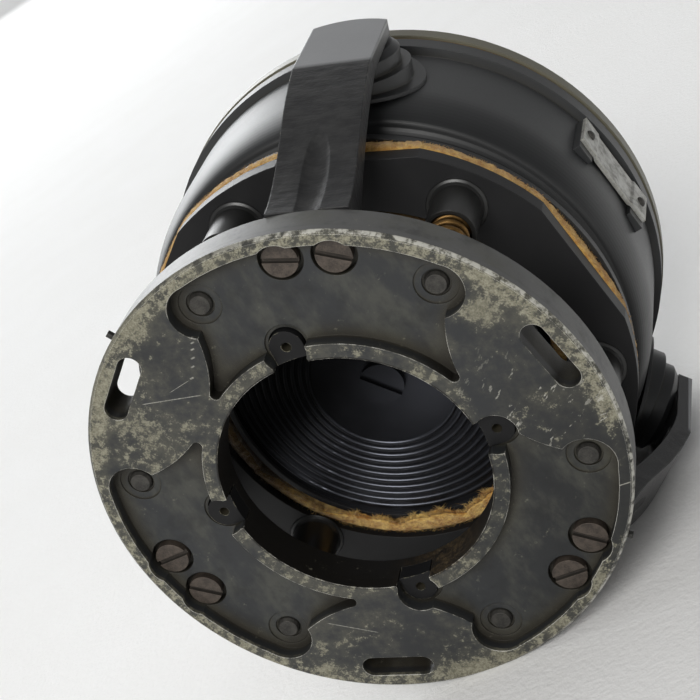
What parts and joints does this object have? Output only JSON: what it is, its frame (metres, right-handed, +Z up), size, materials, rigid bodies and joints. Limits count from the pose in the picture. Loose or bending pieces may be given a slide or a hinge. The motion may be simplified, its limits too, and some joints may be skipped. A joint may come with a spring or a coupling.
{
  "type": "aircraft compass",
  "caption": "Liquid-filled pilot's compass with a turning grid ring, its bowl sprung on felt between arms that stand on a round mounting base.",
  "frame": {"origin": "centre of the base's opening, in the plane of its underside", "axes": "+Z up along the compass's axis, through the dial; one arm stands at -Y"},
  "size_m": [0.1388, 0.1425, 0.1087],
  "materials": {
    "cast_black": "worn satin black paint over a light-alloy casting",
    "bowl_black": "satin black paint",
    "felt": "golden felt",
    "spring_bronze": "tarnished spring bronze",
    "screw_bronze": "darkened bronze",
    "post_steel": "blackened steel",
    "diaphragm_black": "gloss black lacquer on thin metal",
    "plate_alloy": "bare worn sheet",
    "seal_rubber": "black rubber",
    "gasket_ochre": "aged brown gasket",
    "bezel_olive": "worn grey-green paint",
    "clear_glass": "clear plate glass",
    "grid_black": "satin black with white graduations",
    "bright_brass": "turned brass",
    "bright_steel": "polished steel",
    "cream_paint": "cream paint",
    "jewel": "polished stone"
  },
  "bodies": {
    "base": {"base_plate": "cast_black", "corrector_lugs": "cast_black", "rim_pins": "post_steel", "guide_posts": "post_steel", "suspension_springs": "spring_bronze", "support_arm_1": "cast_black", "support_arm_2": "cast_black", "support_arm_3": "cast_black", "arm_screws": "screw_bronze"},
    "bowl_unit": {"carrier_plate": "bowl_black", "spring_cups": "bowl_black", "felt_pad": "felt", "bowl": "bowl_black", "bowl_studs": "bowl_black", "diaphragm": "diaphragm_black", "diaphragm_ring": "bowl_black", "diaphragm_screw": "diaphragm_black", "diaphragm_nut": "bright_brass", "plate_bosses": "bowl_black", "data_plate": "plate_alloy", "plate_rivets": "post_steel", "filler_washer": "gasket_ochre", "filler_plug": "bowl_black", "glass_seal": "seal_rubber", "glass": "clear_glass", "bezel_gasket": "gasket_ochre", "bezel_ring": "bezel_olive", "bezel_screws": "post_steel", "grid_keepers": "bezel_olive", "keeper_screws": "post_steel", "clamp_post": "bright_brass", "clamp_screw": "post_steel", "lubber_line": "cream_paint", "pivot_stem": "bright_brass", "jewel_cup": "jewel"},
    "grid_unit": {"grid_ring": "grid_black", "grid_wires": "cream_paint", "wire_anchors": "bright_brass"},
    "clamp": {"clamp_lever": "bezel_olive"},
    "needle_unit": {"needle_dome": "bright_brass", "pivot_pin": "bright_steel", "magnets": "bright_steel", "needle": "cream_paint", "damping_filaments": "bright_steel"}
  },
  "joints": [
    {"name": "bowl_travel", "type": "slide", "parent": "base", "child": "bowl_unit", "axis": [0, 0, 1], "range_m": [-0.003, 0], "stiffness_N_per_m": 6000, "springref_m": 0.006, "deforming": ["suspension_springs"]},
    {"name": "grid_turn", "type": "hinge", "parent": "bowl_unit", "child": "grid_unit", "pos_m": [0, 0, 0.1022], "axis": [0, 0, 1], "continuous": true},
    {"name": "clamp_turn", "type": "hinge", "parent": "bowl_unit", "child": "clamp", "pos_m": [-0.03089, 0.0535, 0.105], "axis": [0, 0, 1], "range_deg": [-35, 0]},
    {"name": "needle_turn", "type": "hinge", "parent": "bowl_unit", "child": "needle_unit", "pos_m": [0, 0, 0.0755], "axis": [0, 0, 1], "continuous": true}
  ]
}
